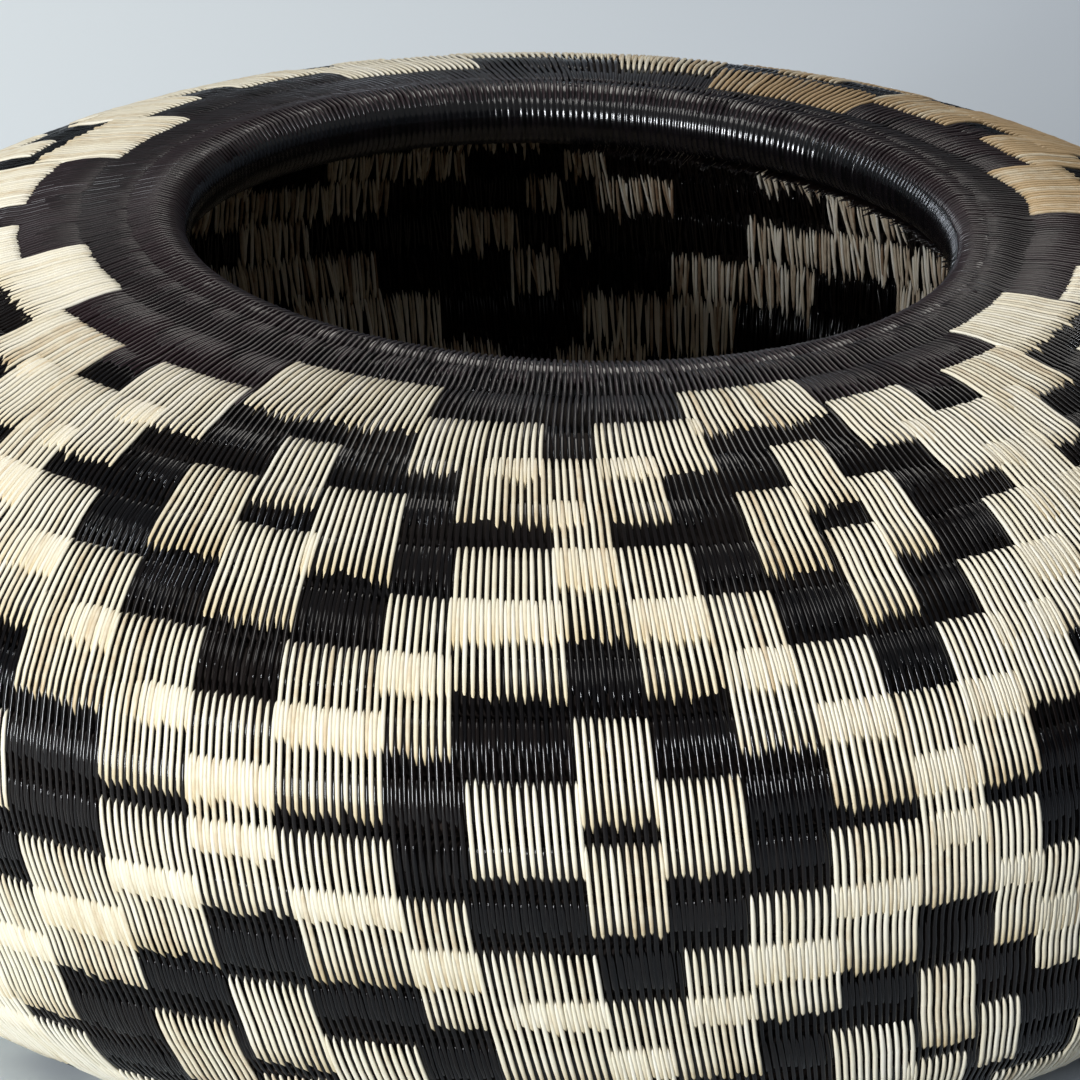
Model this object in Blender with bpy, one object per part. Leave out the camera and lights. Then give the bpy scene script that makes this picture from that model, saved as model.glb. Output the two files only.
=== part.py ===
"""A squat coiled basket with a thick rolled rim, in metres, +Z up, standing on z = 0.

The basket is one cord wound in a spiral, from the middle of the base out over the heel, up the wall,
in over the belly and the shoulder to the mouth. The cord's centre follows the basket's meridian,
a chain of arcs, and moves on by one pitch in each turn. It is cut into the stretches that a maker
works one after the other. The last turn is drawn out thin, so that the rim lies level on it.
The front of the basket looks along -Y.
"""

import math

import bmesh
import bpy
import numpy as np

MM = 0.001
WELD_DISTANCE = 0.01 * MM

# The cord and its spiral
CORD_DIAMETER = 6.2 * MM
COIL_PITCH = 6.8 * MM
END_GAP = 0.35 * MM
FIRST_TURN_RADIUS = 3.9 * MM
TURN_RAYS = 24
LEAST_SELF_GAP = 0.4 * MM

# The meridian that the cord's centre follows, from the middle of the base to the rim
BASE_RADIUS = 67.0 * MM
HEEL_RADIUS = 25.2 * MM
HEEL_SWEEP = math.radians(73.0)
WALL_LENGTH = 18.9 * MM
BELLY_RADIUS = 25.2 * MM
BELLY_SWEEP = math.radians(65.0)
SHOULDER_RADIUS = 59.5 * MM
SHOULDER_SWEEP = math.radians(37.8)

# The rolled rim, whose right side hangs a little
RIM_DIAMETER = 9.1 * MM
RIM_DIP = 1.2 * MM
RIM_POINTS = 48
RIM_START = math.radians(150.0)

# How far the last turn is drawn out, how fast it thins in a turn, and how flat the base is cut
TAPER_TURNS = 0.78
THINNING_SHARE = 1.1
FLAT_CUT_SHARE = 0.1
SPIRAL_START = math.radians(-90.0)
CUT_MARGIN = 5.0 * MM

# The knot that the cord starts from, behind its first end
KNOT_DIAMETER = 5.2 * MM
KNOT_OUT_SHARE = 0.4
KNOT_SIDES = 16
KNOT_BANDS = 8

# The plain dark neck under the rim, and how many places round a turn a stretch of cord may end at
NECK_WIDTH = 15.0 * MM
PARTING_PLACES = 4

# The colour and roughness of each piece. The real stitches mix cream and black; a solid takes one of them
CREAM_FIBRE = (0.80, 0.70, 0.50)
BLACK_FIBRE = (0.018, 0.015, 0.014)
DYED_FIBRE = (0.045, 0.032, 0.034)
FIBRE_LOOKS = {
    "start_knot": (CREAM_FIBRE, 0.60),
    "base_coil": (CREAM_FIBRE, 0.62),
    "heel_coil": (BLACK_FIBRE, 0.40),
    "lower_wall_coil": (CREAM_FIBRE, 0.55),
    "belly_coil": (BLACK_FIBRE, 0.38),
    "shoulder_coil": (CREAM_FIBRE, 0.55),
    "neck_coil": (DYED_FIBRE, 0.45),
    "rim_roll": (BLACK_FIBRE, 0.32),
}


def clear_scene():
    """Remove whatever the open file holds."""
    for item in list(bpy.data.objects):
        bpy.data.objects.remove(item, do_unlink=True)


def new_collection(name):
    """A collection of its own under the scene."""
    collection = bpy.data.collections.new(name)
    bpy.context.scene.collection.children.link(collection)
    return collection


def fibre_material(name, colour, roughness):
    """Palm fibre: no metal, the named colour and roughness."""
    material = bpy.data.materials.new(name)
    material.use_nodes = True
    shader = material.node_tree.nodes["Principled BSDF"]
    shader.inputs["Base Color"].default_value = (*colour, 1.0)
    shader.inputs["Roughness"].default_value = roughness
    shader.inputs["Metallic"].default_value = 0.0
    return material


def meridian_legs():
    """The meridian as legs of (length, turning per length): flat base, heel, wall, belly and shoulder."""
    return [
        (BASE_RADIUS, 0.0),
        (HEEL_RADIUS * HEEL_SWEEP, 1.0 / HEEL_RADIUS),
        (WALL_LENGTH, 0.0),
        (BELLY_RADIUS * BELLY_SWEEP, 1.0 / BELLY_RADIUS),
        (SHOULDER_RADIUS * SHOULDER_SWEEP, 1.0 / SHOULDER_RADIUS),
    ]


def meridian_length():
    """The whole way along the meridian."""
    return sum(length for length, turning in meridian_legs())


def meridian_point(way):
    """(radius, height, slope) of the cord's centre, that far along the meridian from the axis.

    The slope is the meridian's direction: 0 runs outwards, a quarter turn runs up.
    """
    radius = 0.0
    height = base_height()
    slope = 0.0
    for length, turning in meridian_legs():
        step = min(way, length)
        if turning:
            radius += (math.sin(slope + step * turning) - math.sin(slope)) / turning
            height += (math.cos(slope) - math.cos(slope + step * turning)) / turning
            slope += step * turning
        else:
            radius += step * math.cos(slope)
            height += step * math.sin(slope)
        way -= step
        if way <= 0.0:
            break
    radius += way * math.cos(slope)
    height += way * math.sin(slope)
    return radius, height, slope


def base_height():
    """Height of the cord's centre in the base, once its underside is cut flat."""
    return CORD_DIAMETER * (0.5 - FLAT_CUT_SHARE)


def full_turns():
    """Turns from the middle of the base to where the last turn starts to thin."""
    return (meridian_length() - COIL_PITCH / 2.0 - FIRST_TURN_RADIUS) / COIL_PITCH


def cord_at(turn):
    """(point, cord radius, slope) after that many turns of the spiral.

    Past the full turns the cord narrows with the wedge that is left between the turn before it
    and the rim, and its centre keeps to the middle of that wedge.
    """
    thinned = max(0.0, turn - full_turns())
    way = FIRST_TURN_RADIUS + COIL_PITCH * (turn - thinned / 2.0)
    radius, height, slope = meridian_point(way)
    angle = SPIRAL_START + 2.0 * math.pi * turn
    point = (radius * math.cos(angle), radius * math.sin(angle), height)
    return point, CORD_DIAMETER / 2.0 * (1.0 - THINNING_SHARE * thinned), slope


def parting_sample(ray, side):
    """The end of a stretch: half an end gap from the middle of the run after that ray.

    Both stretches that meet there lie on one straight run, so their ends are face to face.
    """
    near, near_radius, near_slope = cord_at(ray / TURN_RAYS)
    far, far_radius, far_slope = cord_at((ray + 1) / TURN_RAYS)
    run = np.subtract(far, near)
    middle = np.add(near, run / 2.0)
    point = middle + side * run * END_GAP / 2.0 / np.linalg.norm(run)
    return tuple(point), (near_radius + far_radius) / 2.0, (near_slope + far_slope) / 2.0


def stretch_samples(first_turn, last_turn):
    """The cord's (point, radius, slope) from one turn to another, on the same rays in every turn."""
    first_ray = round(first_turn * TURN_RAYS)
    last_ray = round(last_turn * TURN_RAYS)
    samples = [cord_at(ray / TURN_RAYS) for ray in range(first_ray + 1, last_ray + 1)]
    if first_ray:
        samples.insert(0, parting_sample(first_ray, 1.0))
    samples.append(parting_sample(last_ray, -1.0))
    return samples


def least_self_gap(samples):
    """The least clear distance between one loop of a cord and the next, measured on its points."""
    points = np.array([point for point, radius, slope in samples])
    radii = np.array([radius for point, radius, slope in samples])
    near = TURN_RAYS // 2
    least = math.inf
    for index in range(len(points) - near):
        apart = np.linalg.norm(points[index + near:] - points[index], axis=1)
        least = min(least, float((apart - radii[index + near:] - radii[index]).min()))
    return least


def tube_object(name, samples, thickness, sides_level, collection):
    """A closed tube along the samples, as a mesh object. sides_level 1 gives 6 sides, 2 gives 8.

    The tube is turned with the slope, so that its edges face the turns beside it all the way.
    """
    curve = bpy.data.curves.new(name + "_path", "CURVE")
    curve.dimensions = "3D"
    curve.twist_mode = "Z_UP"
    curve.bevel_mode = "ROUND"
    curve.bevel_depth = thickness / 2.0
    curve.bevel_resolution = sides_level
    curve.use_fill_caps = True
    spline = curve.splines.new("POLY")
    spline.points.add(len(samples) - 1)
    for place, (point, radius, slope) in zip(spline.points, samples):
        place.co = (*point, 1.0)
        place.radius = radius / (thickness / 2.0)
        place.tilt = -slope
    path = bpy.data.objects.new(name + "_path", curve)
    bpy.context.scene.collection.objects.link(path)
    bpy.context.view_layer.update()
    shape = path.evaluated_get(bpy.context.evaluated_depsgraph_get())
    mesh = bpy.data.meshes.new_from_object(shape)
    mesh.name = name
    bpy.data.objects.remove(path, do_unlink=True)
    bpy.data.curves.remove(curve)
    work = bmesh.new()
    work.from_mesh(mesh)
    bmesh.ops.remove_doubles(work, verts=work.verts, dist=WELD_DISTANCE)
    bmesh.ops.recalc_face_normals(work, faces=work.faces)
    work.to_mesh(mesh)
    work.free()
    made = bpy.data.objects.new(name, mesh)
    collection.objects.link(made)
    return made


def flat_cutter(collection):
    """The block under the floor that the base is cut by."""
    reach = BASE_RADIUS + HEEL_RADIUS + CUT_MARGIN
    bpy.ops.mesh.primitive_cube_add(size=1.0, location=(0.0, 0.0, -CUT_MARGIN / 2.0))
    cutter = bpy.context.object
    cutter.name = "floor_cutter"
    cutter.scale = (2.0 * reach, 2.0 * reach, CUT_MARGIN)
    cutter.hide_render = True
    cutter.display_type = "WIRE"
    for holder in list(cutter.users_collection):
        holder.objects.unlink(cutter)
    collection.objects.link(cutter)
    return cutter


def cut_flat(target, cutter):
    """Cut away what reaches below the floor."""
    cut = target.modifiers.new("flat_underside", "BOOLEAN")
    cut.operation = "DIFFERENCE"
    cut.solver = "EXACT"
    cut.object = cutter


def parting_turn(way):
    """The turn that a stretch ends at: the nearest place for a parting to that way along the meridian."""
    return round((way - FIRST_TURN_RADIUS) / COIL_PITCH * PARTING_PLACES) / PARTING_PLACES


def stretch_limits():
    """(name, first turn, last turn) of each stretch, parted where the meridian goes from leg to leg.

    The base stretch goes one coil up the heel, so that it holds all that the floor cuts.
    """
    base, heel, wall, belly, shoulder = [length for length, turning in meridian_legs()]
    ends = [
        ("base_coil", parting_turn(base + COIL_PITCH)),
        ("heel_coil", parting_turn(base + heel)),
        ("lower_wall_coil", parting_turn(base + heel + wall)),
        ("belly_coil", parting_turn(base + heel + wall + belly)),
        ("shoulder_coil", parting_turn(meridian_length() - NECK_WIDTH)),
        ("neck_coil", full_turns() + TAPER_TURNS),
    ]
    limits = []
    start = 0.0
    for name, end in ends:
        limits.append((name, start, end))
        start = end
    return limits


def start_knot(collection, cutter):
    """The flattened knot in the middle of the base, seated behind the cord's first end."""
    behind = KNOT_DIAMETER / 2.0 + END_GAP
    place = (-behind, -FIRST_TURN_RADIUS * KNOT_OUT_SHARE, base_height())
    mesh = bpy.data.meshes.new("start_knot")
    work = bmesh.new()
    bmesh.ops.create_uvsphere(work, u_segments=KNOT_SIDES, v_segments=KNOT_BANDS, radius=KNOT_DIAMETER / 2.0)
    work.to_mesh(mesh)
    work.free()
    knot = bpy.data.objects.new("start_knot", mesh)
    knot.location = place
    collection.objects.link(knot)
    cut_flat(knot, cutter)
    knot.data.materials.append(fibre_material("start_knot_fibre", *FIBRE_LOOKS["start_knot"]))


def coil_stretches(collection, cutter):
    """The cord from the middle of the base to the neck, one object for each stretch."""
    for name, first, last in stretch_limits():
        samples = stretch_samples(first, last)
        gap = least_self_gap(samples) if last - first > 1.0 else math.inf
        print(f"{name}: {last - first:.2f} turns, least gap to itself {gap / MM:.2f} mm")
        if gap < LEAST_SELF_GAP:
            print(f"{name}: the turns lie too close")
        stretch = tube_object(name, samples, CORD_DIAMETER, 1, collection)
        if name == "base_coil":
            cut_flat(stretch, cutter)
        stretch.data.materials.append(fibre_material(name + "_fibre", *FIBRE_LOOKS[name]))


def rim_place():
    """(radius, height) of the rim's centre: seated against the end of the meridian."""
    radius, height, slope = meridian_point(meridian_length())
    reach = END_GAP + RIM_DIAMETER / 2.0
    return radius + reach * math.cos(slope), height + reach * math.sin(slope)


def rim_roll(collection):
    """The thick last round: one turn, butted end to end, whose right side hangs a little."""
    radius, height = rim_place()
    open_share = END_GAP / (2.0 * math.pi * radius)
    samples = []
    for index in range(RIM_POINTS + 1):
        angle = RIM_START + 2.0 * math.pi * (1.0 - open_share) * index / RIM_POINTS
        drop = RIM_DIP * math.cos(angle)
        point = (radius * math.cos(angle), radius * math.sin(angle), height - drop)
        samples.append((point, RIM_DIAMETER / 2.0, math.pi))
    rim = tube_object("rim_roll", samples, RIM_DIAMETER, 2, collection)
    rim.data.materials.append(fibre_material("rim_roll_fibre", *FIBRE_LOOKS["rim_roll"]))


def report_size():
    """Print the overall size."""
    widest = 0.0
    for ray in range(round(full_turns() * TURN_RAYS)):
        point, cord_radius, slope = cord_at(ray / TURN_RAYS)
        widest = max(widest, math.hypot(point[0], point[1]))
    radius, height = rim_place()
    top = height + RIM_DIAMETER / 2.0 + RIM_DIP
    mouth = 2.0 * radius - RIM_DIAMETER
    print(f"about {(2.0 * widest + CORD_DIAMETER) / MM:.1f} mm across, {top / MM:.1f} mm high")
    print(f"mouth {mouth / MM:.1f} mm across, {full_turns() + TAPER_TURNS:.1f} turns of cord under the rim")


def build():
    """Make the whole basket."""
    clear_scene()
    basket = new_collection("coiled_basket")
    cutters = new_collection("cutters")
    cutter = flat_cutter(cutters)
    start_knot(basket, cutter)
    coil_stretches(basket, cutter)
    rim_roll(basket)
    report_size()


build()
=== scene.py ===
import math

import bpy
import numpy as np
from mathutils import Matrix, Vector


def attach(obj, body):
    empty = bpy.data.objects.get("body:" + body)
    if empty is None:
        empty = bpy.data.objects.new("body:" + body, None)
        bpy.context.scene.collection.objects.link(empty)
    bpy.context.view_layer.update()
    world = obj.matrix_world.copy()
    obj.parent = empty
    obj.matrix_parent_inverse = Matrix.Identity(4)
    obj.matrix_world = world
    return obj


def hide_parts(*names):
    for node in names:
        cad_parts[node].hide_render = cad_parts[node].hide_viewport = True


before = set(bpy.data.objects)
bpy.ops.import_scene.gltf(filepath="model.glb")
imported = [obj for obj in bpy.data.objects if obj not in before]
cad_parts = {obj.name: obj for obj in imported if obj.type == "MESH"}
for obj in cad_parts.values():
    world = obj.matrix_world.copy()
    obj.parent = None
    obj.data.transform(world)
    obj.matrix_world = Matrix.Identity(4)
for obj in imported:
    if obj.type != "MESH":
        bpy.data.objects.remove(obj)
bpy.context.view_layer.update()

# The foundation cord is one bundle of split palm fibre, wound in a spiral from the middle of the
# base out over the heel, up the wall and in over the shoulder to the mouth. Each turn lies on
# the last and is bound there by the stitches. It shows only as the dark in the gaps between them.
MM = 0.001
ROW = 7.0 * MM
NECK_RADIUS = 47.38 * MM
NECK_SLOPE = math.radians(-4.0)
SHOULDER_RADIUS = 60.3 * MM
SHOULDER_SWEEP = math.radians(46.0)
BELLY_RADIUS = 28.7 * MM
BELLY_SWEEP = math.radians(65.0)
WALL_LENGTH = 18.9 * MM
HEEL_RADIUS = 28.7 * MM
HEEL_SWEEP = math.radians(73.0)
BASE_RADIUS = 67.2 * MM
BASE_LIFT = 0.45 * MM
WALL_THICKNESS = 6.2 * MM
CORD_CLOSENESS = 1.008
CORD_THICKNESS = 5.6 * MM
CORD_SQUARENESS = 2.6
CORD_SIDES = 12
CORD_RINGS_PER_TURN = 96
CORD_START = 0.9
CORD_END_RADIUS = 4.2 * MM
CORD_SINK = 0.15 * MM
CORD_THINNING_ROWS = 1.2
CORD_THINNEST = 0.25
CORD_GRAIN = 80.0
LOOK_AHEAD = 0.02
FRONT = math.radians(-90.0)
BACK_SEAM = math.radians(90.0)
TURN = 2.0 * math.pi

# The whole rim hangs a little to the right and dips there, and the neck rows follow it.
MOUTH_SHIFT = 1.1 * MM
MOUTH_DIP = 1.2 * MM
LEAN_ENDS = (1.0, 4.0)

leg_ends = np.cumsum([0.0, SHOULDER_RADIUS * SHOULDER_SWEEP, BELLY_RADIUS * BELLY_SWEEP,
                      WALL_LENGTH, HEEL_RADIUS * HEEL_SWEEP, BASE_RADIUS])
leg_slopes = NECK_SLOPE + np.cumsum([0.0, SHOULDER_SWEEP, BELLY_SWEEP, 0.0, HEEL_SWEEP, 0.0])
surface_way = np.linspace(-ROW, leg_ends[-1], 6000)
surface_slope = np.interp(surface_way, leg_ends, leg_slopes)
step = surface_way[1] - surface_way[0]
surface_radius = np.cumsum(np.cos(surface_slope)) * step
surface_radius += NECK_RADIUS - np.interp(0.0, surface_way, surface_radius)
surface_height = -np.cumsum(np.sin(surface_slope)) * step
surface_height += BASE_LIFT - surface_height[-1]
NECK_HEIGHT = float(np.interp(0.0, surface_way, surface_height))
LAST_ROW = 1.0 + leg_ends[-1] / ROW


def surface(place):
    """Radius, height and slope of the outer surface at a place counted in rows, 1 being the neck."""
    way = (np.asarray(place, float) - 1.0) * ROW
    return (np.interp(way, surface_way, surface_radius),
            np.interp(way, surface_way, surface_height),
            np.interp(way, surface_way, surface_slope))


def turned(angle):
    """How far the spiral has climbed at an angle round the basket, in rows, nought at the front."""
    return (angle - FRONT) / TURN


def lean(points, place, angle):
    """Points moved with the rim, which hangs to the right and dips: fully at the neck, not lower."""
    low, high = LEAN_ENDS
    share = np.clip((high - place) / (high - low), 0.0, 1.0)
    share = share * share * (3.0 - 2.0 * share)
    points[..., 0] += MOUTH_SHIFT * share
    points[..., 2] -= MOUTH_DIP * np.cos(angle) * share
    return points


def on_meridian(radius, height, angle):
    """Points at a radius and height, at an angle round the basket."""
    return np.stack(np.broadcast_arrays(radius * np.cos(angle), radius * np.sin(angle), height), -1)


def new_mesh(name, points, loops, starts, uvs, point_values):
    """A mesh object from arrays of points and corner indices, smooth, with a bake map and values."""
    mesh = bpy.data.meshes.new(name)
    mesh.vertices.add(len(points))
    mesh.vertices.foreach_set("co", np.asarray(points, np.float32).ravel())
    mesh.loops.add(len(loops))
    mesh.loops.foreach_set("vertex_index", np.asarray(loops, np.int32))
    mesh.polygons.add(len(starts))
    mesh.polygons.foreach_set("loop_start", np.asarray(starts, np.int32))
    layer = mesh.uv_layers.new(name="OFBake")
    layer.data.foreach_set("uv", np.asarray(uvs, np.float32).ravel())
    for value_name, values in point_values.items():
        kind = "FLOAT_VECTOR" if values.ndim == 2 else "FLOAT"
        attribute = mesh.attributes.new(value_name, kind, "POINT")
        field = "vector" if values.ndim == 2 else "value"
        attribute.data.foreach_set(field, np.asarray(values, np.float32).ravel())
    mesh.update(calc_edges=True)
    mesh.validate()
    mesh.shade_smooth()
    piece = bpy.data.objects.new(name, mesh)
    bpy.context.scene.collection.objects.link(piece)
    return piece


CELLS_WIDE_TO_HIGH = 4.0
CELL_FILL = 0.9
CELL_MARGIN = 0.05


def tubes(name, centres, across, outward, half_width, half_depth, section, values):
    """Closed tubes, one along each row of centres, with the section's (across, outward) shares."""
    count, rings = half_width.shape
    sides = len(section)
    wide = np.array([p[0] for p in section])
    deep = np.array([p[1] for p in section])
    points = (centres[:, :, None, :]
              + across[:, :, None, :] * (half_width[:, :, None] * wide)[..., None]
              + outward[:, :, None, :] * (half_depth[:, :, None] * deep)[..., None])
    spans = rings - 1
    ring = np.arange(spans)
    side = np.arange(sides)
    index = np.arange(count * rings * sides).reshape(count, rings, sides)
    here = index[:, ring]
    there = index[:, ring + 1]
    quads = np.stack([here, np.roll(here, -1, 2), np.roll(there, -1, 2), there], -1)
    loops = quads.reshape(-1)
    starts = np.arange(len(loops) // 4) * 4
    # The bake map: each tube has a cell of its own, with its length up the cell
    cells_wide = max(1, int(math.sqrt(count * CELLS_WIDE_TO_HIGH)))
    cells_high = -(-count // cells_wide)
    number = np.arange(count)
    cell_x = (number % cells_wide)[:, None, None]
    cell_y = (number // cells_wide)[:, None, None]
    ends = np.array([0.0, 1.0])[:, None, None]
    u = (side[None, None, :] + ends) / sides * CELL_FILL + CELL_MARGIN
    v = (ring[None, :, None] + ends) / spans * CELL_FILL + CELL_MARGIN
    corner_u = np.stack([u[0], u[1], u[1], u[0]], -1)
    corner_v = np.stack([v[0], v[0], v[1], v[1]], -1)
    uvs = np.stack(np.broadcast_arrays((cell_x[..., None] + corner_u[None]) / cells_wide,
                                       (cell_y[..., None] + corner_v[None]) / cells_high), -1)
    uvs = np.broadcast_to(uvs, (count, spans, sides, 4, 2)).reshape(-1, 2)
    caps = np.concatenate([index[:, 0, ::-1].reshape(-1), index[:, -1].reshape(-1)])
    cap_starts = len(loops) + np.arange(2 * count) * sides
    loops = np.concatenate([loops, caps])
    starts = np.concatenate([starts, cap_starts])
    uvs = np.concatenate([uvs, np.zeros((len(caps), 2))])
    spread = {}
    for value_name, value in values.items():
        full = np.broadcast_to(value[:, :, None, ...], (count, rings, sides) + value.shape[2:])
        spread[value_name] = full.reshape((count * rings * sides,) + value.shape[2:])
    return new_mesh(name, points.reshape(-1, 3), loops, starts, uvs, spread)


def unit(vectors):
    """The vectors, each scaled to a length of one."""
    return vectors / np.linalg.norm(vectors, axis=-1, keepdims=True)


GRAIN_DETAIL = 3.0
MOTTLE_STRENGTH = 0.55
MOTTLE_MIDDLE = 0.27
MIDDLE_TONE_PLACE = 0.45
SMOOTHER_BY = 0.07
ROUGHER_BY = 0.1
BUMP_STRENGTH = 0.5


def fibre_material(name, tones, roughness, grain, bump, painted_tip_shade=None, specular=0.5):
    """Split palm fibre: a tone for each strand, fine grain along it, and tips darkened as painted
    shade.

    tones are two or three colours, from the darkest strand to the palest. The strand's own tone, its
    length and its grain come from the mesh.
    """
    material = bpy.data.materials.new(name)
    material.use_nodes = True
    nodes = material.node_tree.nodes
    link = material.node_tree.links.new
    shader = nodes["Principled BSDF"]
    shader.inputs["Specular IOR Level"].default_value = specular
    tone = nodes.new("ShaderNodeAttribute")
    tone.attribute_name = "tone"
    along = nodes.new("ShaderNodeAttribute")
    along.attribute_name = "along"
    thread = nodes.new("ShaderNodeAttribute")
    thread.attribute_name = "thread"
    streaks = nodes.new("ShaderNodeTexNoise")
    streaks.inputs["Scale"].default_value = grain
    streaks.inputs["Detail"].default_value = GRAIN_DETAIL
    link(thread.outputs["Vector"], streaks.inputs["Vector"])
    mottle = nodes.new("ShaderNodeMath")
    mottle.operation = "MULTIPLY_ADD"
    mottle.inputs[1].default_value = MOTTLE_STRENGTH
    link(streaks.outputs["Fac"], mottle.inputs[0])
    link(tone.outputs["Fac"], mottle.inputs[2])
    shift = nodes.new("ShaderNodeMath")
    shift.operation = "SUBTRACT"
    shift.inputs[1].default_value = MOTTLE_MIDDLE
    link(mottle.outputs[0], shift.inputs[0])
    ramp = nodes.new("ShaderNodeValToRGB")
    ramp.color_ramp.elements[0].color = (*tones[0], 1.0)
    ramp.color_ramp.elements[1].color = (*tones[-1], 1.0)
    if len(tones) == 3:
        middle = ramp.color_ramp.elements.new(MIDDLE_TONE_PLACE)
        middle.color = (*tones[1], 1.0)
    link(shift.outputs[0], ramp.inputs["Fac"])
    colour = ramp.outputs["Color"]
    # Painted shade: the colour darkens along each tail towards its tip, where the packed tails lie
    # partly shadowed.
    if painted_tip_shade:
        tips = nodes.new("ShaderNodeMix")
        tips.data_type = "RGBA"
        tips.blend_type = "MULTIPLY"
        link(along.outputs["Fac"], tips.inputs["Factor"])
        link(colour, tips.inputs["A"])
        tips.inputs["B"].default_value = (*painted_tip_shade, 1.0)
        colour = tips.outputs["Result"]
    link(colour, shader.inputs["Base Color"])
    rough = nodes.new("ShaderNodeMapRange")
    rough.inputs["To Min"].default_value = roughness - SMOOTHER_BY
    rough.inputs["To Max"].default_value = roughness + ROUGHER_BY
    link(streaks.outputs["Fac"], rough.inputs["Value"])
    link(rough.outputs["Result"], shader.inputs["Roughness"])
    raised = nodes.new("ShaderNodeBump")
    raised.inputs["Strength"].default_value = BUMP_STRENGTH
    raised.inputs["Distance"].default_value = bump
    link(streaks.outputs["Fac"], raised.inputs["Height"])
    link(raised.outputs["Normal"], shader.inputs["Normal"])
    return material


def finish_piece(piece, material, slot, *replaced):
    """Give a piece its material, let it ride the one body, and hide the solids that it stands for."""
    piece.data.materials.append(material)
    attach(piece, "root")
    if replaced:
        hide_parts(*replaced)


def cord_spiral():
    """The places in rows and the angles along the cord, from the rim to the middle of the base."""
    last = LAST_ROW - 0.5
    places = np.linspace(CORD_START, last, int((last - CORD_START) * CORD_RINGS_PER_TURN))
    radius, _, _ = surface(places)
    places = places[radius > CORD_END_RADIUS]
    return places, FRONT - TURN * (places - 0.5 - 1.0)


places, angles = cord_spiral()
radius, height, slope = surface(places)
depth = 0.5 * CORD_THICKNESS + CORD_SINK
centres = on_meridian(radius - depth * np.sin(slope), height - depth * np.cos(slope), angles)
outward = on_meridian(np.sin(slope), np.cos(slope), angles)
across = on_meridian(np.cos(slope), -np.sin(slope), angles)
oval = []
for number in range(CORD_SIDES):
    turn = TURN * number / CORD_SIDES
    wide, deep = math.cos(turn), math.sin(turn)
    oval.append((math.copysign(abs(wide) ** (2.0 / CORD_SQUARENESS), wide),
                 math.copysign(abs(deep) ** (2.0 / CORD_SQUARENESS), deep)))
thinning = np.clip((places - CORD_START) / CORD_THINNING_ROWS, CORD_THINNEST, 1.0)
centres = lean(centres, places, angles)
thread = np.stack([places * 0.0, places * TURN * CORD_GRAIN, places], -1)
rng = np.random.default_rng(5)
_, _, next_slope = surface(places + LOOK_AHEAD)
bend = (next_slope - slope) / (LOOK_AHEAD * ROW)
cord_width = CORD_CLOSENESS * ROW * (1.0 - depth * bend)
cord = tubes("foundation_cord", centres[None], across[None], outward[None],
             (0.5 * cord_width * thinning)[None], (0.5 * CORD_THICKNESS * thinning)[None], oval,
             values={"tone": rng.random((1, len(places))), "along": np.zeros((1, len(places))),
                     "thread": thread[None]})
CORD_TONES = ((0.003, 0.002, 0.002), (0.016, 0.010, 0.007))
cord_fibre = fibre_material("foundation_fibre", CORD_TONES, 0.75, 3.0, 0.1 * MM, specular=0.2)
finish_piece(cord, cord_fibre, "neck_fibre")

# The starting knot is the tight first loop that the cord is wound from. It is wrapped close with
# cream fibre, and sits in the middle of the base.
KNOT_RING_RADIUS = 1.7 * MM
KNOT_TUBE_RADIUS = 1.9 * MM
KNOT_WRAPS = 22
WRAP_UNEVENNESS = 0.12
RIDGE_ROUNDNESS = 2.2
RIDGE_HEIGHTS = (0.75, 1.15)


def wrapped_ring(ring_radius, tube_radius, wraps, ridge, per_wrap, around, twist, seed):
    """The arrays of a ring wound closely with fibre, which rises in a rounded ridge at each wrap."""
    rng = np.random.default_rng(seed)
    edges = (np.arange(wraps) + rng.uniform(-WRAP_UNEVENNESS, WRAP_UNEVENNESS, wraps)) * TURN / wraps
    widths = np.diff(np.append(edges, edges[0] + TURN))
    shares = np.arange(per_wrap) / per_wrap
    angle = (edges[:, None] + widths[:, None] * shares).reshape(-1)
    rise = np.tile(1.0 - np.abs(2.0 * shares - 1.0) ** RIDGE_ROUNDNESS, wraps)
    rise *= np.repeat(rng.uniform(*RIDGE_HEIGHTS, wraps), per_wrap)
    tone = np.repeat(rng.random(wraps), per_wrap)
    round_tube = TURN * np.arange(around) / around
    lead = angle[:, None] + twist * TURN / wraps * (round_tube[None] / TURN - 0.25)
    reach = tube_radius + ridge * (rise[:, None] - 0.5)
    radius = ring_radius + reach * np.sin(round_tube)
    height = reach * np.cos(round_tube)
    points = on_meridian(radius, height, lead)
    rings = len(angle)
    index = np.arange(rings * around).reshape(rings, around)
    quads = np.stack([index, np.roll(index, -1, 1), np.roll(np.roll(index, -1, 0), -1, 1),
                      np.roll(index, -1, 0)], -1)
    loops = quads.reshape(-1)
    starts = np.arange(len(loops) // 4) * 4
    ring, side = np.meshgrid(np.arange(rings), np.arange(around), indexing="ij")
    corner_u = np.stack([ring, ring, ring + 1, ring + 1], -1) / rings
    corner_v = np.stack([side, side + 1, side + 1, side], -1) / around
    uvs = np.stack([corner_u, corner_v], -1).reshape(-1, 2)
    thread = np.stack(np.broadcast_arrays((angle * 400.0)[:, None], (round_tube * 2.0)[None],
                                          tone[:, None] * 9.0), -1).reshape(-1, 3)
    values = {"tone": np.repeat(tone, around), "along": np.zeros(rings * around), "thread": thread}
    return points.reshape(-1, 3), loops, starts, uvs, values, lead.reshape(-1)


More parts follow.
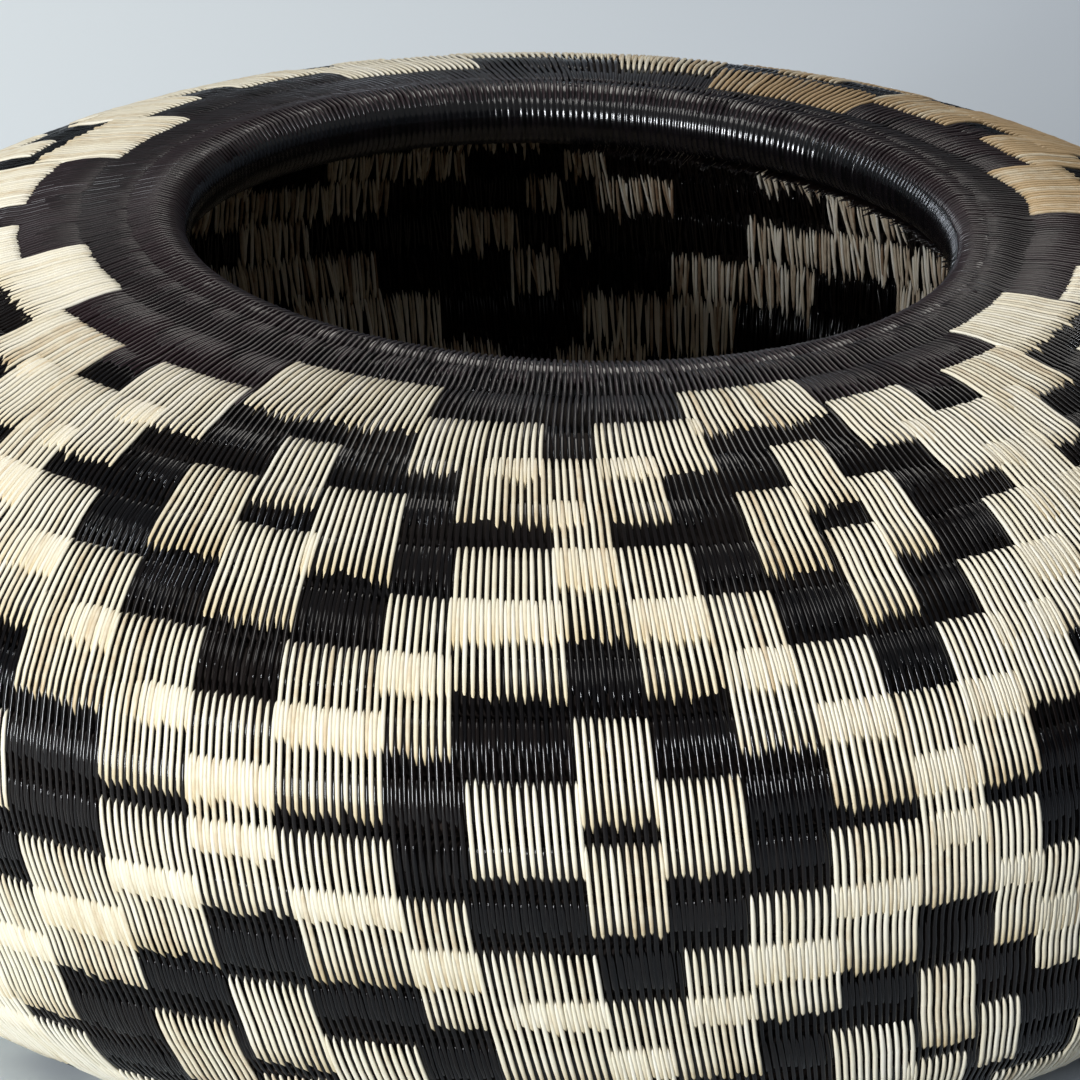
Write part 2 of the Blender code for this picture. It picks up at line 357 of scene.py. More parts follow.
points, loops, starts, uvs, values, lead = wrapped_ring(
    KNOT_RING_RADIUS, KNOT_TUBE_RADIUS, KNOT_WRAPS, ridge=0.2 * MM, per_wrap=6, around=16,
    twist=1.0, seed=3)
points[:, 2] += BASE_LIFT + KNOT_TUBE_RADIUS
knot = new_mesh("starting_knot", points, loops, starts, uvs, values)
CREAM_TONES = ((0.52, 0.37, 0.20), (0.78, 0.71, 0.54), (0.85, 0.80, 0.67))
# The cream tails are darkened towards their tips with a warm colour, as painted shade.
cream_fibre = fibre_material("cream_palm_fibre", CREAM_TONES, 0.42, 2.2, 0.05 * MM,
                             painted_tip_shade=(0.80, 0.69, 0.50))
finish_piece(knot, cream_fibre, "cream_fibre", "start_knot")

# The stitches wrap each turn of the cord and bind it to the turn below: split palm fibre, left
# cream or dyed black. A stitch starts at the top of its row, passes over its own turn, and its
# tail narrows to a point near a gap between two stitches of the row below.
RIM_STITCH = 0.68 * MM
BELLY_STITCH = 0.90 * MM
FULLEST_ROW = 10
NECK_START_ANGLES = np.radians([-270.0, -180.0, -90.0, 0.0, 45.0, 90.0])
NECK_START_PLACES = [1.5, 1.5, 1.3, 1.12, 1.3, 1.25]
LIP_START_PLACES = [0.55, 0.42, 0.62, 0.60, 0.55, 0.55]
ROLL_JOIN = 1.41
ROLL_JOIN_ANGLE = math.radians(38.0)
ROLL_RADIUS = 3.8 * MM
ROLL_RING_RADIUS = 47.9 * MM
ROLL_DROP = 2.6 * MM
ROLL_LEFT = 1.12
SHOULDER_MET = 2.1

# The rows at the right of the back lie a little further out than a true spiral.
STRAY_ANGLES = np.radians([-5.0, 15.0, 30.0, 62.0, 85.0])
STRAY_ROWS = [0.0, 0.5, 0.28, 0.28, 0.0]
STRAY_ENDS = (3.5, 7.5)

# The share of its own row's height at each ring of a stitch, from its top, with the half width
# there in shares of the room that it has, the half thickness, and how far it rises.
OWN_LENGTHS = np.array([-0.03, 0.03, 0.12, 0.32, 0.6, 0.88])
TAIL_SHARES = np.array([0.1, 0.45, 0.82, 1.0])
STITCH_WIDTHS = np.array([0.03, 0.18, 0.25, 0.30, 0.315, 0.315, 0.31, 0.30, 0.25, 0.05])
STITCH_DEPTHS = np.array([0.08, 0.20, 0.25, 0.26, 0.26, 0.25, 0.24, 0.22, 0.18, 0.05]) * MM
STITCH_RISES = np.array([-0.35, -0.02, 0.04, 0.03, 0.02, 0.03, 0.05, 0.05, 0.02, -0.40]) * MM
STITCH_SECTION = [(math.cos(math.radians(a)), math.sin(math.radians(a)))
                  for a in (-15, 35, 90, 145, 195, 270)]
NECK_FULLNESS = 1.12
BLACK_FLATNESS = 0.48
BLACK_DROP = 0.16 * MM
TAIL_SINK = 0.25 * MM
TAIL_RIDE = 0.07 * MM
GROOVE_DEPTH = 0.10 * MM
CREAM_CROWN_RISE = 0.17 * MM
BLACK_CROWN_RISE = 0.30 * MM
TAIL_AIM = 0.6
TAIL_NEIGHBOURS = 13
REACH = 0.70
REACH_SPREAD = 0.16
REACH_LIMITS = (0.4, 0.93)
BASE_FLATNESS = 0.5
LEAN_ROWS = [1.0, 3.0, 8.0, 12.0, 15.0, 20.0]
LEAN_ROOMS = [0.2, 0.35, 0.6, 0.9, 1.8, 1.8]

# Painted shade: the cream of the upper rows is given a lower, tan tone from the right side round to
# the back, for the shade there away from the window lamp.
PAINTED_SHADE_ROWS = 7
PAINTED_SHADE_ANGLES = np.radians([-25.0, 0.0, 40.0, 70.0, 88.0])
PAINTED_SHADE_SHARES = [0.0, 0.5, 0.75, 0.55, 0.0]

# The pattern: sixteen half repeats round the basket, in degrees at its first row, each of four
# columns. The halves take the two colour orders of a step by turns, and swap them every five rows.
# Four half repeats near the front have uneven columns of their own.
PATTERN_ROW = 3
HALF_STARTS = [-264.5, -243.0, -223.0, -201.0, -175.0, -154.0, -129.5, -103.5, -81.3, -61.5, -41.0,
               -19.0, 3.5, 25.0, 46.5, 72.0]
COLUMN_SHARES = {
    6: (0.26, 0.244, 0.232, 0.264),
    7: (0.215, 0.333, 0.215, 0.237),
    8: (0.26, 0.293, 0.254, 0.193),
    9: (0.26, 0.22, 0.30, 0.22),
}
USUAL_SHARES = (0.25, 0.27, 0.25, 0.23)
PATTERN_DRIFT = 0.43
EDGE_WANDER = 0.35
STEPS = {
    "border": ("BCCC", "BBBB"),
    "first": ("CBBB", "CCBC"),
    "second": ("BBCB", "BCCC"),
    "third": ("BCBC", "BBCB"),
}
STEP_ORDER = ("first", "second", "third", "second", "first")
BORDER_ROW = 2
LAST_PATTERN_ROW = 20
SEAM_LEFT = -270.0
SEAM_RIGHT = 90.0
LEAST_BLOCK = 0.5


def pattern_cells(row):
    """The row's blocks of one colour, as (start, end, black) in radians from the back seam round."""
    step_row = (row - PATTERN_ROW) % (2 * len(STEP_ORDER))
    kind = "border" if row == BORDER_ROW else STEP_ORDER[step_row % len(STEP_ORDER)]
    swapped = row > BORDER_ROW and step_row >= len(STEP_ORDER)
    starts = [HALF_STARTS[-1] - 360.0] + HALF_STARTS + [HALF_STARTS[0] + 360.0]
    rng = np.random.default_rng(100 + row)
    edges, blacks = [], []
    for number, (left, right) in enumerate(zip(starts[:-1], starts[1:]), start=-1):
        shares = COLUMN_SHARES.get(number, USUAL_SHARES)
        edges.extend(left + (right - left) * np.cumsum((0.0,) + shares[:-1]))
        blacks.extend(colour == "B" for colour in STEPS[kind][(number + swapped) % 2])
    edges = np.array(edges + [starts[-1]]) + PATTERN_DRIFT * (row - PATTERN_ROW)
    edges += rng.uniform(-EDGE_WANDER, EDGE_WANDER, len(edges))
    return join_cells(edges, blacks)


def join_cells(edges, blacks):
    """Blocks from edges in degrees, cut to the turn from the back seam, like neighbours joined."""
    cells = []
    for left, right, black in zip(edges[:-1], edges[1:], blacks):
        left, right = max(left, SEAM_LEFT), min(right, SEAM_RIGHT)
        if right - left < LEAST_BLOCK:
            continue
        if cells and cells[-1][2] == black:
            cells[-1][1] = right
        else:
            cells.append([left, right, black])
    cells[0][0] = SEAM_LEFT
    cells[-1][1] = SEAM_RIGHT
    return [(math.radians(a), math.radians(b), black) for a, b, black in cells]


def row_cells(row):
    """The row's blocks: a plain neck, the border row, the stepped pattern, and a plain base."""
    if row < BORDER_ROW:
        return join_cells(np.array([SEAM_LEFT, SEAM_RIGHT]), [True])
    if row > LAST_PATTERN_ROW:
        return join_cells(np.array([SEAM_LEFT, SEAM_RIGHT]), [False])
    return pattern_cells(row)


def row_line(row, angle):
    """The place where a row starts, at an angle round the basket."""
    if row < 1:
        return np.interp(angle, NECK_START_ANGLES, LIP_START_PLACES)
    if row == 1:
        return np.interp(angle, NECK_START_ANGLES, NECK_START_PLACES)
    fade = np.interp(row, STRAY_ENDS, (1.0, 0.0))
    return row - turned(angle) + fade * np.interp(angle, STRAY_ANGLES, STRAY_ROWS)


def stitch_room(row):
    """The room that one stitch has along its row."""
    share = min(max((row - 1) / (FULLEST_ROW - 1), 0.0), 1.0)
    return RIM_STITCH + share * (BELLY_STITCH - RIM_STITCH)


def is_black(row, angles):
    """Whether the stitches that start at these angles of a row are black."""
    cells = row_cells(row)
    edges = np.array([right for _, right, _ in cells[:-1]])
    colours = np.array([black for _, _, black in cells])
    return colours[np.searchsorted(edges, angles)]


EVENING_ROUNDS = 40
EVENING_SHARE = 0.8
SPOTS_ROUND = 721
ADD_BEYOND = 1.6
LEAVE_OUT_BELOW = -0.6


def evened(starts):
    """Starts drawn a little towards the middle of their neighbours, as a maker evens them out."""
    for _ in range(EVENING_ROUNDS):
        starts[1:-1] += EVENING_SHARE * (0.5 * (starts[:-2] + starts[2:]) - starts[1:-1])
    return starts


def lay_rows(first, last):
    """Where each row's stitches start: each in the gap between two stitches of the row above.

    One is added wherever the row has become too wide for them, and one left out where too narrow.
    """
    laid = {}
    seam = BACK_SEAM - TURN
    spots = np.linspace(seam, BACK_SEAM, SPOTS_ROUND)
    for row in range(first, last + 1):
        radius, _, _ = surface(row_line(row, spots))
        lengths = 0.5 * (radius[1:] + radius[:-1]) * np.diff(spots)
        wanted = np.concatenate([[0.0], np.cumsum(lengths)])
        wanted /= stitch_room(row)
        if row == first:
            count = round(wanted[-1])
            starts = np.interp((np.arange(count) + 0.5) * wanted[-1] / count, wanted, spots)
        else:
            above = laid[row - 1]
            room = np.gradient(above)
            ends = above + lean_rooms(row - 1) * room
            gaps = 0.5 * (ends[1:] + ends[:-1])
            fresh = np.arange(seam + 0.4 * room[0], gaps[0] - 0.5 * room[0], room[0])
            more = np.arange(gaps[-1] + room[-1], BACK_SEAM + room[-1], room[-1])
            gaps = np.concatenate([fresh, gaps, more])
            gaps = gaps[gaps < BACK_SEAM]
            room = np.gradient(gaps)
            starts = []
            for gap, width, count in zip(gaps, room, np.interp(gaps, spots, wanted)):
                if count - len(starts) > ADD_BEYOND:
                    starts.extend([gap - 0.25 * width, gap + 0.25 * width])
                elif count - len(starts) > LEAVE_OUT_BELOW:
                    starts.append(gap)
            starts = evened(np.array(starts))
        laid[row] = starts
    return laid


def lean_rooms(row):
    """How far a stitch leans along its row by its end, in rooms."""
    return float(np.interp(row, LEAN_ROWS, LEAN_ROOMS))


LAST_STITCH_ROW = int(LAST_ROW) - 1
laid_rows = lay_rows(0, LAST_STITCH_ROW + 1)

# What the stitches lie on, in section: the roll, then drawn taut from its top to the shoulder.
skin_place = np.arange(-0.5, LAST_ROW, 0.01)
skin_radius, skin_height, _ = surface(skin_place)
on_roll = skin_place < ROLL_LEFT
roll_turn = ROLL_JOIN_ANGLE - (ROLL_JOIN - skin_place[on_roll]) * ROW / ROLL_RADIUS
skin_radius[on_roll] = ROLL_RING_RADIUS + ROLL_RADIUS * np.sin(roll_turn)
skin_height[on_roll] = NECK_HEIGHT - ROLL_DROP + ROLL_RADIUS * np.cos(roll_turn)
taut = ~on_roll & (skin_place < SHOULDER_MET)
share = (skin_place[taut] - ROLL_LEFT) / (SHOULDER_MET - ROLL_LEFT)
met_radius, met_height, met_slope = surface(SHOULDER_MET)
span = met_radius - skin_radius[on_roll][-1]
skin_radius[taut] = skin_radius[on_roll][-1] + span * share
skin_height[taut] = ((1.0 - share) ** 2 * (1.0 + 2.0 * share) * skin_height[on_roll][-1]
                     + share ** 2 * (3.0 - 2.0 * share) * met_height
                     - (1.0 - share) ** 2 * share * span * math.tan(roll_turn[-1])
                     + share ** 2 * (1.0 - share) * span * math.tan(met_slope))
skin_slope = np.arctan2(-np.gradient(skin_height), np.gradient(skin_radius))


def skin(place):
    """Radius, height and slope of what the stitches lie on: the roll, the neck and the surface."""
    return (np.interp(place, skin_place, skin_radius), np.interp(place, skin_place, skin_height),
            np.interp(place, skin_place, skin_slope))


def ease(value, low, high):
    """A smooth rise from nought at low to one at high."""
    share = np.clip((value - low) / (high - low), 0.0, 1.0)
    return share * share * (3.0 - 2.0 * share)


def bulge(row_share, crown_rise):
    """How far the stitches stand out over a turn of the cord: sunk at its edges, proud between."""
    share = row_share - np.floor(row_share)
    return crown_rise * (1.0 - np.abs(2.0 * share - 1.0) ** RIDGE_ROUNDNESS) - GROOVE_DEPTH


def stitch_strands(row, black, seed):
    """The strands of one row and colour, as the arrays that stitch_piece() joins."""
    rng = np.random.default_rng(seed + row)
    starts, below = laid_rows[row], laid_rows[row + 1]
    rooms = np.gradient(starts)
    jitter = rng.normal(0.0, 1.0, (5, len(starts)))
    drift = lean_rooms(row) * rooms
    gaps = 0.5 * (below[:-1] + below[1:])
    nearest = np.clip(np.searchsorted(gaps, starts + drift), 1, len(gaps) - 1)
    lower, upper = gaps[nearest - 1], gaps[nearest]
    middle = 0.5 * (lower + upper)
    aim = np.where(starts + drift < middle, lower, upper) - starts - drift
    aim = np.where(np.abs(aim) < rooms, aim, 0.0)
    aim = TAIL_AIM * np.convolve(aim, np.ones(TAIL_NEIGHBOURS) / TAIL_NEIGHBOURS, "same")
    keep = is_black(row, starts) == black
    starts, rooms, aim = starts[keep], rooms[keep], aim[keep]
    drift, jitter = drift[keep], jitter[:, keep]
    reach = REACH + REACH_SPREAD * np.random.default_rng(900 + row).uniform(-1.0, 1.0)
    reach = np.clip(reach + 0.05 * jitter[0], *REACH_LIMITS)[:, None]
    own = OWN_LENGTHS[None] + 0.012 * jitter[1][:, None] * (OWN_LENGTHS[None] < 0.2)
    length = np.concatenate([np.broadcast_to(own, (len(starts), len(OWN_LENGTHS))),
                             1.0 + TAIL_SHARES[None] * reach], axis=1)
    side = starts[:, None] + drift[:, None] * np.minimum(length, 1.0)
    side = side + lean_rooms(row + 1) * rooms[:, None] * np.maximum(length - 1.0, 0.0)
    side = side + aim[:, None] * ease(length, 0.4, 1.1)
    side = side + 0.03 * rooms[:, None] * jitter[2][:, None]
    first, second, third = row_line(row, side), row_line(row + 1, side), row_line(row + 2, side)
    place = np.where(length < 1.0, first + length * (second - first),
                     second + (length - 1.0) * (third - second))
    radius, height, slope = skin(place)
    crown_rise = BLACK_CROWN_RISE if black else CREAM_CROWN_RISE
    rise = bulge(length, crown_rise) + STITCH_RISES[None] + 0.02 * MM * jitter[3][:, None]
    # A black tail sinks between cream stitches, and a cream one rides over black stitches
    next_black = is_black(row + 1, side[:, -1])[:, None]
    tail = ease(length, 0.9, 1.15)
    if black:
        rise = rise - BLACK_DROP - TAIL_SINK * tail * ~next_black
    else:
        rise = rise + TAIL_RIDE * tail * next_black
    if row > LAST_PATTERN_ROW:
        rise = rise * BASE_FLATNESS
    radius = radius + rise * np.sin(slope)
    height = height + rise * np.cos(slope)
    centres = on_meridian(radius, height, side)
    outward = on_meridian(np.sin(slope), np.cos(slope), side)
    centres = lean(centres, place, side)
    heading = np.gradient(centres, axis=1)
    across = unit(np.cross(outward, heading))
    outward = unit(np.cross(heading, across))
    half_width = STITCH_WIDTHS[None] * (rooms * radius[:, 3])[:, None]
    half_width = half_width * (1.0 + 0.05 * jitter[4][:, None])
    if row < PATTERN_ROW - 1:
        half_width = half_width * NECK_FULLNESS
    flatness = BLACK_FLATNESS if black and row >= PATTERN_ROW else 1.0
    half_depth = np.broadcast_to(STITCH_DEPTHS[None] * flatness, half_width.shape)
    # The stitches of a block come from one batch of fibre, so they share a part of their tone
    block = np.searchsorted([right for _, right, _ in row_cells(row)], starts)
    block_tone = rng.random(block.max(initial=0) + 1)[block]
    if black:
        tone = 0.3 * rng.random(len(starts)) + 0.8 * block_tone ** 2
    else:
        tone = 0.2 + 0.5 * rng.random(len(starts)) + 0.3 * block_tone
        # Painted shade: the cream tone is lowered towards the right and back of the upper rows.
        if row < PAINTED_SHADE_ROWS:
            tone = tone - np.interp(starts, PAINTED_SHADE_ANGLES, PAINTED_SHADE_SHARES)
    tone = np.broadcast_to(tone[:, None], half_width.shape)
    along = ease(length, 1.1, 1.9)
    thread = np.stack([tone * 57.0, length * 2.0, tone * 31.0], -1)
    return centres, across, outward, half_width, half_depth, tone, along, thread


def stitch_piece(name, strands, rows, black, seed):
    """One piece of all the stitches of a colour in the rows, made by one of the strands functions."""
    parts = [strands(row, black, seed) for row in rows]
    parts = [part for part in parts if len(part[0])]
    joined = [np.concatenate(group) for group in zip(*parts)]
    centres, across, outward, half_width, half_depth, tone, along, thread = joined
    return tubes(name, centres, across, outward, half_width, half_depth, STITCH_SECTION,
                 values={"tone": tone, "along": along, "thread": thread})


BLACK_TONES = ((0.0006, 0.0006, 0.0012), (0.0055, 0.0034, 0.0028))
NECK_TONES = ((0.002, 0.0015, 0.0018), (0.017, 0.0080, 0.0100))
black_fibre = fibre_material("black_palm_fibre", BLACK_TONES, 0.12, 2.2, 0.01 * MM, specular=0.34)
neck_fibre = fibre_material("brown_black_palm_fibre", NECK_TONES, 0.34, 2.2, 0.05 * MM, specular=0.42)

NECK_ROWS = range(0, 3)
SHOULDER_CREAM_ROWS = range(2, 8)
SHOULDER_BLACK_ROWS = range(3, 8)
BELLY_ROWS = range(8, 13)
WALL_ROWS = range(13, 17)
HEEL_ROWS = range(17, 21)
BASE_ROWS = range(21, LAST_STITCH_ROW + 1)
base = stitch_piece("base_cream_stitches", stitch_strands, BASE_ROWS, black=False, seed=10)
finish_piece(base, cream_fibre, "cream_fibre", "base_coil")
heel_cream = stitch_piece("heel_cream_stitches", stitch_strands, HEEL_ROWS, black=False, seed=20)
finish_piece(heel_cream, cream_fibre, "cream_fibre", "heel_coil")
heel_black = stitch_piece("heel_black_stitches", stitch_strands, HEEL_ROWS, black=True, seed=20)
finish_piece(heel_black, black_fibre, "black_fibre")
wall_cream = stitch_piece("lower_wall_cream_stitches", stitch_strands, WALL_ROWS, black=False, seed=30)
finish_piece(wall_cream, cream_fibre, "cream_fibre", "lower_wall_coil")
wall_black = stitch_piece("lower_wall_black_stitches", stitch_strands, WALL_ROWS, black=True, seed=30)
finish_piece(wall_black, black_fibre, "black_fibre")
belly_cream = stitch_piece("belly_cream_stitches", stitch_strands, BELLY_ROWS, black=False, seed=40)
finish_piece(belly_cream, cream_fibre, "cream_fibre", "belly_coil")
belly_black = stitch_piece("belly_black_stitches", stitch_strands, BELLY_ROWS, black=True, seed=40)
finish_piece(belly_black, black_fibre, "black_fibre")
shoulder_cream = stitch_piece("shoulder_cream_stitches", stitch_strands, SHOULDER_CREAM_ROWS,
                              black=False, seed=50)
finish_piece(shoulder_cream, cream_fibre, "cream_fibre", "shoulder_coil")
shoulder_black = stitch_piece("shoulder_black_stitches", stitch_strands, SHOULDER_BLACK_ROWS,
                              black=True, seed=50)
finish_piece(shoulder_black, black_fibre, "black_fibre")
neck = stitch_piece("neck_stitches", stitch_strands, NECK_ROWS, black=True, seed=60)
finish_piece(neck, neck_fibre, "neck_fibre", "neck_coil")

# The inside shows the backs of the same stitches, in the same colours. They are split in two, shorter
# and more ragged, of dull fibre where they are cream, with painted shade: the inner cream's darker
# tones are deeper and browner than the outer cream's, for the dim inside.
INSIDE_LENGTHS = np.array([-0.06, 0.1, 0.5, 0.9, 1.08])
INSIDE_WIDTHS = np.array([0.05, 0.19, 0.22, 0.19, 0.05])
INSIDE_SPLIT = 0.24
INSIDE_SLANT = 0.5
SLANT_UNEVENNESS = 0.45
INSIDE_DEPTHS = np.array([0.05, 0.20, 0.24, 0.20, 0.05]) * MM


def inside_strands(row, black, seed):
    """The backs of one row's stitches on the inner face of the wall."""
    rng = np.random.default_rng(seed + row)
    starts = laid_rows[row]
    rooms = np.gradient(starts)
    keep = is_black(row, starts) == black
    starts, rooms = starts[keep], rooms[keep]
    starts = np.concatenate([starts - INSIDE_SPLIT * rooms, starts + INSIDE_SPLIT * rooms])
    rooms = np.concatenate([rooms, rooms])
    jitter = rng.normal(0.0, 1.0, (4, len(starts)))
    length = INSIDE_LENGTHS[None] + 0.12 * jitter[0][:, None] * (INSIDE_LENGTHS[None] > 0.4)
    length = length + 0.08 * jitter[1][:, None] * (INSIDE_LENGTHS[None] < 0.4)
    slant = INSIDE_SLANT + SLANT_UNEVENNESS * jitter[2][:, None]
    side = starts[:, None] - rooms[:, None] * slant * length
    place = row - turned(side) + length
    radius, height, slope = surface(place)
    rise = WALL_THICKNESS + bulge(length, BLACK_CROWN_RISE) + 0.05 * MM * jitter[3][:, None]
    radius = radius - rise * np.sin(slope)
    height = height - rise * np.cos(slope)
    centres = on_meridian(radius, height, side)
    outward = on_meridian(-np.sin(slope), -np.cos(slope), side)
    centres = lean(centres, place, side)
    heading = np.gradient(centres, axis=1)
    across = unit(np.cross(outward, heading))
    outward = unit(np.cross(heading, across))
    half_width = INSIDE_WIDTHS[None] * (rooms * radius[:, 2])[:, None]
    half_width = half_width * (1.0 + 0.15 * jitter[3][:, None])
    half_depth = np.broadcast_to(INSIDE_DEPTHS[None], half_width.shape)
    tone = np.broadcast_to(rng.random(len(starts))[:, None], half_width.shape)
    thread = np.stack([tone * 57.0, length * 2.0, tone * 31.0], -1)
    return centres, across, outward, half_width, half_depth, tone, np.zeros_like(tone), thread


INSIDE_CREAM_ROWS = range(2, LAST_STITCH_ROW + 1)
INSIDE_BLACK_ROWS = range(1, 21)
# Painted shade: these tones are the cream's, made deeper and browner at the dark end for the dim
# inside.
INSIDE_SHADED_TONES = ((0.28, 0.18, 0.11), (0.68, 0.59, 0.45), (0.88, 0.84, 0.74))
inside_shaded_fibre = fibre_material("dull_inner_fibre_painted_shade", INSIDE_SHADED_TONES, 0.6, 2.2, 0.05 * MM, specular=0.2)
inside_cream = stitch_piece("inside_cream_stitches", inside_strands, INSIDE_CREAM_ROWS,
                            black=False, seed=70)
finish_piece(inside_cream, inside_shaded_fibre, "cream_fibre")
inside_black = stitch_piece("inside_black_stitches", inside_strands, INSIDE_BLACK_ROWS,
                            black=True, seed=70)
finish_piece(inside_black, black_fibre, "black_fibre")

# The rim roll is a thick ring of fibre, laid on the last turn and wrapped close with fine glossy
# black fibre.
ROLL_WRAPS = 374
ROLL_FULLNESS = 0.99
points, loops, starts, uvs, values, lead = wrapped_ring(
    ROLL_RING_RADIUS, ROLL_FULLNESS * ROLL_RADIUS, ROLL_WRAPS, ridge=0.11 * MM, per_wrap=6,
    around=40, twist=1.4, seed=4)
points[:, 2] += NECK_HEIGHT - ROLL_DROP
points = lean(points, np.full(len(points), 1.0), lead)
roll = new_mesh("rim_roll_wraps", points, loops, starts, uvs, values)
ROLL_TONES = ((0.0010, 0.0010, 0.0012), (0.0035, 0.0028, 0.0034))
roll_fibre = fibre_material("rim_palm_fibre", ROLL_TONES, 0.16, 2.2, 0.01 * MM, specular=0.6)
finish_piece(roll, roll_fibre, "black_fibre", "rim_roll")

# The floor and the backdrop are one dish of paper, flat round the basket and curved up at its edge.
# Its colour is painted light and shade: near white at the left, towards the window lamp, and blue grey
# at the right. It is also darker towards the front.
DISH_FLOOR = 4.0
DISH_CURVE = 0.8
DISH_HEIGHT = 2.2
DISH_SIDES = 96
DISH_CURVE_STEPS = 12
DISH_INNER_RING = 0.02
PAPER_SIDE = 0.13
PAPER_FRONT = -0.40
PAPER_BACK = 0.05
PAPER_FRONT_SHARE = 0.5
profile = [(DISH_INNER_RING, 0.0)]
for number in range(DISH_CURVE_STEPS + 1):
    turn = 0.5 * math.pi * number / DISH_CURVE_STEPS
    profile.append((DISH_FLOOR + DISH_CURVE * math.sin(turn), DISH_CURVE * (1.0 - math.cos(turn))))
profile.append((DISH_FLOOR + DISH_CURVE, DISH_HEIGHT))
dish_points = []
for radius, height in profile:
    for side in range(DISH_SIDES):
        turn = TURN * side / DISH_SIDES
        dish_points.append((radius * math.cos(turn), radius * math.sin(turn), height))
dish_faces = [tuple(range(DISH_SIDES))]
for ring in range(len(profile) - 1):
    for side in range(DISH_SIDES):
        after = (side + 1) % DISH_SIDES
        dish_faces.append((ring * DISH_SIDES + side, (ring + 1) * DISH_SIDES + side,
                           (ring + 1) * DISH_SIDES + after, ring * DISH_SIDES + after))
sweep_mesh = bpy.data.meshes.new("backdrop")
sweep_mesh.from_pydata(dish_points, [], dish_faces)
sweep_mesh.shade_smooth()
sweep = bpy.data.objects.new("backdrop", sweep_mesh)
bpy.context.scene.collection.objects.link(sweep)
paper = bpy.data.materials.new("backdrop_paper")
paper.use_nodes = True
paper_nodes = paper.node_tree.nodes
paper_link = paper.node_tree.links.new
spot = paper_nodes.new("ShaderNodeTexCoord")
parted = paper_nodes.new("ShaderNodeSeparateXYZ")
paper_link(spot.outputs["Object"], parted.inputs["Vector"])
sideways = paper_nodes.new("ShaderNodeMapRange")
sideways.inputs["From Min"].default_value = -PAPER_SIDE
sideways.inputs["From Max"].default_value = PAPER_SIDE
paper_link(parted.outputs["X"], sideways.inputs["Value"])
# Painted light and shade: the paper runs from near white at the left to blue grey at the right.
shade = paper_nodes.new("ShaderNodeValToRGB")
shade.color_ramp.elements[0].color = (0.90, 0.97, 1.0, 1.0)
shade.color_ramp.elements[1].color = (0.44, 0.49, 0.56, 1.0)
paper_link(sideways.outputs["Result"], shade.inputs["Fac"])
forward = paper_nodes.new("ShaderNodeMapRange")
forward.interpolation_type = "SMOOTHSTEP"
forward.inputs["From Min"].default_value = PAPER_FRONT
forward.inputs["From Max"].default_value = PAPER_BACK
forward.inputs["To Min"].default_value = PAPER_FRONT_SHARE
forward.inputs["To Max"].default_value = 1.0
paper_link(parted.outputs["Y"], forward.inputs["Value"])
dimmed = paper_nodes.new("ShaderNodeVectorMath")
dimmed.operation = "SCALE"
paper_link(shade.outputs["Color"], dimmed.inputs[0])
paper_link(forward.outputs["Result"], dimmed.inputs["Scale"])
paper_link(dimmed.outputs["Vector"], paper_nodes["Principled BSDF"].inputs["Base Color"])
paper_nodes["Principled BSDF"].inputs["Roughness"].default_value = 0.9
sweep_mesh.materials.append(paper)

# The light comes from a tall window lamp low at the left of the front, and from three weaker ones:
# above the front, above the back, and low at the left of the back. The room is pale and dim.
LIT_POINT = Vector((0.0, 0.0, 0.05))
world = bpy.data.worlds.new("studio")
world.use_nodes = True
world.node_tree.nodes["Background"].inputs["Color"].default_value = (0.85, 0.88, 0.92, 1.0)
world.node_tree.nodes["Background"].inputs["Strength"].default_value = 0.25
bpy.context.scene.world = world


def soft_lamp(name, place, wide, high, power, colour):
    """An oblong soft lamp at a place, facing the basket."""
    lamp = bpy.data.lights.new(name, "AREA")
    lamp.shape = "RECTANGLE"
    lamp.size = wide
    lamp.size_y = high
    lamp.energy = power
    lamp.color = colour
    holder = bpy.data.objects.new(name, lamp)
    holder.location = place
    aim = LIT_POINT - Vector(place)
    holder.rotation_euler = aim.to_track_quat("-Z", "Y").to_euler()
    bpy.context.scene.collection.objects.link(holder)


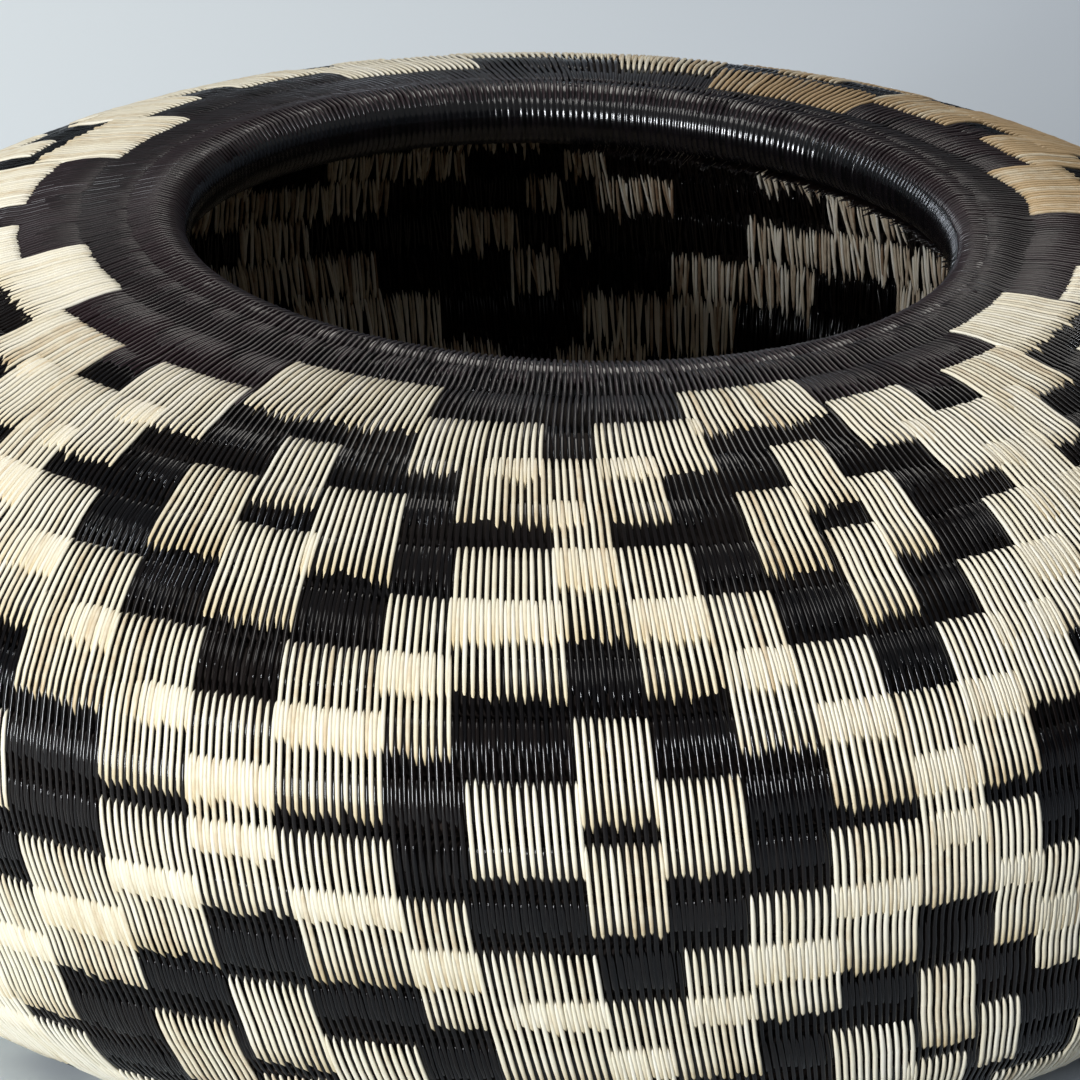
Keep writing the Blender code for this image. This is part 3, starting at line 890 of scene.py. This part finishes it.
soft_lamp("window_lamp", (-0.74, -1.18, 0.35), 0.11, 0.50, 22.0, (0.93, 0.96, 1.0))
soft_lamp("upper_lamp", (-0.35, -0.55, 1.2), 0.45, 0.45, 3.4, (1.0, 0.98, 0.95))
soft_lamp("ceiling_lamp", (0.10, 0.65, 1.1), 0.60, 0.60, 5.2, (0.98, 0.94, 0.88))
soft_lamp("side_lamp", (-1.1, 0.9, 0.45), 0.10, 0.40, 2.4, (0.84, 0.90, 1.0))

# The camera looks down at the basket's front through a long lens, rolled by less than a degree.
# It is turned down and aside so that the neck lies above the middle of the picture.
PICTURE_PIXELS = 1080.0
FOCAL_PIXELS = 9692.0
CAMERA_DISTANCE = 161.0 * ROW
CAMERA_RISE = math.radians(19.95)
CAMERA_ROLL = math.radians(0.74)
NECK_RIGHT_PIXELS = 19.7
NECK_ABOVE_PIXELS = 312.4
lens = bpy.data.cameras.new("camera")
lens.sensor_width = 36.0
lens.lens = lens.sensor_width * FOCAL_PIXELS / PICTURE_PIXELS
lens.clip_end = 20.0
camera = bpy.data.objects.new("camera", lens)
bpy.context.scene.collection.objects.link(camera)
back = Vector((0.0, -math.cos(CAMERA_RISE), math.sin(CAMERA_RISE)))
level = Vector((1.0, 0.0, 0.0))
rise = Vector((0.0, math.sin(CAMERA_RISE), math.cos(CAMERA_RISE)))
right = level * math.cos(CAMERA_ROLL) + rise * math.sin(CAMERA_ROLL)
above = rise * math.cos(CAMERA_ROLL) - level * math.sin(CAMERA_ROLL)
facing = Matrix((right, above, back)).transposed().to_4x4()
turn_down = Matrix.Rotation(-math.atan(NECK_ABOVE_PIXELS / FOCAL_PIXELS), 4, "X")
turn_left = Matrix.Rotation(math.atan(NECK_RIGHT_PIXELS / FOCAL_PIXELS), 4, "Y")
target = Vector((0.0, 0.0, NECK_HEIGHT))
stand = Matrix.Translation(target + back * CAMERA_DISTANCE)
camera.matrix_world = stand @ facing @ turn_down @ turn_left
bpy.context.scene.camera = camera
bpy.context.scene.view_settings.view_transform = "Standard"
